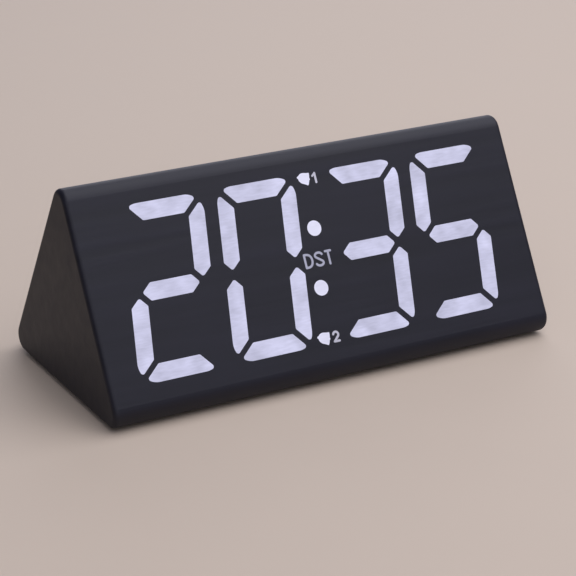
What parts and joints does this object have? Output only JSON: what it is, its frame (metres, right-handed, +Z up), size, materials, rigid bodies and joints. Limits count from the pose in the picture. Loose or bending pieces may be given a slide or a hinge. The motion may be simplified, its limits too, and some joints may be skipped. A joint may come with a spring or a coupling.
{
  "type": "digital led desk clock",
  "caption": "Tent-shaped desk clock with a large lit digit display on its sloping front, keys, a battery door and a power socket behind.",
  "frame": {"origin": "on the standing surface, under the middle of the clock", "axes": "+X along the clock to the right as its display is read, front face towards -Y, +Z up"},
  "size_m": [0.15, 0.07, 0.0627],
  "materials": {
    "housing": "satin black moulding with faint streaks along its length",
    "key": "satin black",
    "lit_window": "translucent, glowing cool white when lit",
    "dark_window": "smoked, as dark as the housing until lit",
    "reflector": "white",
    "circuit_board": "green solder mask",
    "led": "cream",
    "chip": "moulded black",
    "connector": "ivory",
    "switch": "black",
    "ribbon": "flat white",
    "capacitor": "sleeved can",
    "bare_metal": "plated",
    "socket_plastic": "black",
    "screw_steel": "zinc plated",
    "foot_rubber": "dull black"
  },
  "bodies": {
    "case": {"alarm_1_window": "dark_window", "alarm_2_window": "dark_window", "buzzer": "switch", "clock_crystal": "bare_metal", "coin_cell": "bare_metal", "coin_cell_holder": "connector", "colon_windows": "lit_window", "control_board": "circuit_board", "control_board_screws": "screw_steel", "control_connector": "connector", "cover_screws": "screw_steel", "dimmer_switch": "switch", "display_board": "circuit_board", "display_board_screws": "screw_steel", "display_connector": "connector", "display_driver": "chip", "front_housing": "housing", "hour_tens_dark_segments": "dark_window", "hour_tens_lit_segments": "lit_window", "hour_units_dark_segments": "dark_window", "hour_units_lit_segments": "lit_window", "microcontroller": "chip", "minute_tens_dark_segments": "dark_window", "minute_tens_lit_segments": "lit_window", "minute_units_dark_segments": "dark_window", "minute_units_lit_segments": "lit_window", "power_capacitor": "capacitor", "power_socket_shell": "bare_metal", "power_socket_tongue": "socket_plastic", "rear_cover": "housing", "reflector_frame": "reflector", "ribbon_cable": "ribbon", "rubber_feet": "foot_rubber", "segment_leds": "led", "summer_time_window": "dark_window", "tact_switches": "switch"},
    "door": {"battery_door": "housing", "battery_door_screw": "screw_steel"},
    "dimmer": {"dimmer_knob": "key"},
    "time_set_key": {"time_set_button": "key"},
    "alarm_1_key": {"alarm_1_button": "key"},
    "alarm_2_key": {"alarm_2_button": "key"},
    "down_key": {"down_button": "key"},
    "up_key": {"up_button": "key"},
    "summer_time_key": {"summer_time_button": "key"}
  },
  "joints": [
    {"name": "battery_door_hinge", "type": "hinge", "parent": "case", "child": "door", "pos_m": [0, 0.03097, 0.01143], "axis": [-1, 0, 0], "range_deg": [0, 90]},
    {"name": "dimmer_slide", "type": "slide", "parent": "case", "child": "dimmer", "axis": [1, 0, 0], "range_m": [-0.0015, 0.0015]},
    {"name": "time_set_press", "type": "slide", "parent": "case", "child": "time_set_key", "axis": [0, -0.866, -0.5], "range_m": [0, 0.0005], "stiffness_N_per_m": 1500, "springref_m": -0.0005},
    {"name": "alarm_1_press", "type": "slide", "parent": "case", "child": "alarm_1_key", "axis": [0, -0.866, -0.5], "range_m": [0, 0.0005], "stiffness_N_per_m": 1500, "springref_m": -0.0005},
    {"name": "alarm_2_press", "type": "slide", "parent": "case", "child": "alarm_2_key", "axis": [0, -0.866, -0.5], "range_m": [0, 0.0005], "stiffness_N_per_m": 1500, "springref_m": -0.0005},
    {"name": "down_press", "type": "slide", "parent": "case", "child": "down_key", "axis": [0, -0.866, -0.5], "range_m": [0, 0.0005], "stiffness_N_per_m": 1500, "springref_m": -0.0005},
    {"name": "up_press", "type": "slide", "parent": "case", "child": "up_key", "axis": [0, -0.866, -0.5], "range_m": [0, 0.0005], "stiffness_N_per_m": 1500, "springref_m": -0.0005},
    {"name": "summer_time_press", "type": "slide", "parent": "case", "child": "summer_time_key", "axis": [0, -0.866, -0.5], "range_m": [0, 0.0005], "stiffness_N_per_m": 1500, "springref_m": -0.0005}
  ]
}
